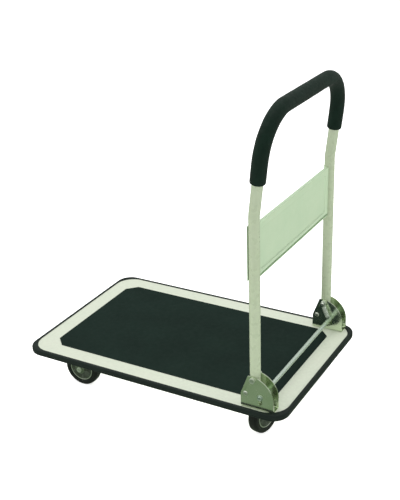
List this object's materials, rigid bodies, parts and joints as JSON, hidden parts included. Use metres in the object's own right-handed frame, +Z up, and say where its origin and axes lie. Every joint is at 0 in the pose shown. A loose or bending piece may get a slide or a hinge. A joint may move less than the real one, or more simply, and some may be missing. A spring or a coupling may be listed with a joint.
{
  "type": "folding platform cart",
  "caption": "Flat-bed hand truck with a rubber-edged steel deck, four casters and a tubular push handle that folds down flat onto the deck.",
  "frame": {"origin": "on the floor, under the middle of the deck over its rubber edge", "axes": "+X along the deck towards the handle end, +Y to the right of an operator standing at the handle end and facing the deck, +Z up"},
  "size_m": [0.74, 0.48, 0.8528],
  "materials": {
    "cream_paint": "semi-gloss powder coat",
    "handle_paint": "semi-gloss powder coat",
    "panel_paint": "semi-gloss powder coat",
    "edge_rubber": "matte",
    "mat_rubber": "matte, fine ribbed grain",
    "grip_foam": "matte closed-cell foam",
    "bright_zinc": "bright zinc plate",
    "fastener_zinc": "bright zinc plate",
    "steel_sleeve": "plain turned steel",
    "spring_steel": "plated wire",
    "plug_plastic": "moulded",
    "bar_zinc": "bright zinc plate",
    "fork_zinc": "zinc plate",
    "tyre_rubber": "satin",
    "wheel_core": "grey-green enamel"
  },
  "bodies": {
    "frame": {"deck_plate": "cream_paint", "front_cross_member": "cream_paint", "rear_cross_member": "cream_paint", "edge_bumper": "edge_rubber", "anti_slip_mat": "mat_rubber", "left_bracket": "bright_zinc", "right_bracket": "bright_zinc", "bracket_bolts": "fastener_zinc", "bracket_nuts": "fastener_zinc", "stop_bushes": "steel_sleeve", "stop_rivets": "fastener_zinc", "pivot_bolts": "fastener_zinc", "pivot_nuts": "fastener_zinc", "left_lock_spring": "spring_steel", "right_lock_spring": "spring_steel", "caster_bolts": "fastener_zinc", "caster_nuts": "fastener_zinc", "left_front_fork": "fork_zinc", "left_front_axle": "fastener_zinc", "left_front_axle_nut": "fastener_zinc", "right_front_fork": "fork_zinc", "right_front_axle": "fastener_zinc", "right_front_axle_nut": "fastener_zinc", "left_rear_top_plate": "fork_zinc", "left_rear_kingpin": "fastener_zinc", "right_rear_top_plate": "fork_zinc", "right_rear_kingpin": "fastener_zinc"},
    "handle": {"handle_tube": "handle_paint", "handle_panel": "panel_paint", "foam_grip": "grip_foam", "pivot_bushes": "steel_sleeve", "post_end_plugs": "plug_plastic"},
    "lock_bar": {"lock_bar": "bar_zinc", "lock_bar_clips": "bar_zinc"},
    "left_front_wheel": {"left_front_tyre": "tyre_rubber", "left_front_rim": "wheel_core", "left_front_bush": "steel_sleeve"},
    "left_swivel": {"left_rear_fork": "fork_zinc", "left_rear_balls": "steel_sleeve", "left_rear_axle": "fastener_zinc", "left_rear_axle_nut": "fastener_zinc"},
    "left_rear_wheel": {"left_rear_tyre": "tyre_rubber", "left_rear_rim": "wheel_core", "left_rear_bush": "steel_sleeve"},
    "right_front_wheel": {"right_front_tyre": "tyre_rubber", "right_front_rim": "wheel_core", "right_front_bush": "steel_sleeve"},
    "right_swivel": {"right_rear_fork": "fork_zinc", "right_rear_balls": "steel_sleeve", "right_rear_axle": "fastener_zinc", "right_rear_axle_nut": "fastener_zinc"},
    "right_rear_wheel": {"right_rear_tyre": "tyre_rubber", "right_rear_rim": "wheel_core", "right_rear_bush": "steel_sleeve"}
  },
  "joints": [
    {"name": "handle_fold", "type": "hinge", "parent": "frame", "child": "handle", "pos_m": [0.2896, 0, 0.211], "axis": [0, -1, 0], "range_deg": [0, 97.6]},
    {"name": "lock_bar_press", "type": "slide", "parent": "frame", "child": "lock_bar", "axis": [0, 0, -1], "range_m": [0, 0.0142], "stiffness_N_per_m": 900, "springref_m": -0.012, "deforming": ["left_lock_spring", "right_lock_spring"]},
    {"name": "left_front_wheel_spin", "type": "hinge", "parent": "frame", "child": "left_front_wheel", "pos_m": [-0.264, -0.138, 0.05], "axis": [0, 1, 0], "continuous": true},
    {"name": "left_swivel", "type": "hinge", "parent": "frame", "child": "left_swivel", "pos_m": [0.261, -0.1435, 0.1], "axis": [0, 0, 1], "continuous": true},
    {"name": "left_rear_wheel_spin", "type": "hinge", "parent": "left_swivel", "child": "left_rear_wheel", "pos_m": [0.26534, -0.11888, 0.05], "axis": [-0.9848, 0.1736, 0], "continuous": true},
    {"name": "right_front_wheel_spin", "type": "hinge", "parent": "frame", "child": "right_front_wheel", "pos_m": [-0.264, 0.138, 0.05], "axis": [0, 1, 0], "continuous": true},
    {"name": "right_swivel", "type": "hinge", "parent": "frame", "child": "right_swivel", "pos_m": [0.261, 0.1435, 0.1], "axis": [0, 0, 1], "continuous": true},
    {"name": "right_rear_wheel_spin", "type": "hinge", "parent": "right_swivel", "child": "right_rear_wheel", "pos_m": [0.26534, 0.16812, 0.05], "axis": [-0.9848, 0.1736, 0], "continuous": true}
  ]
}
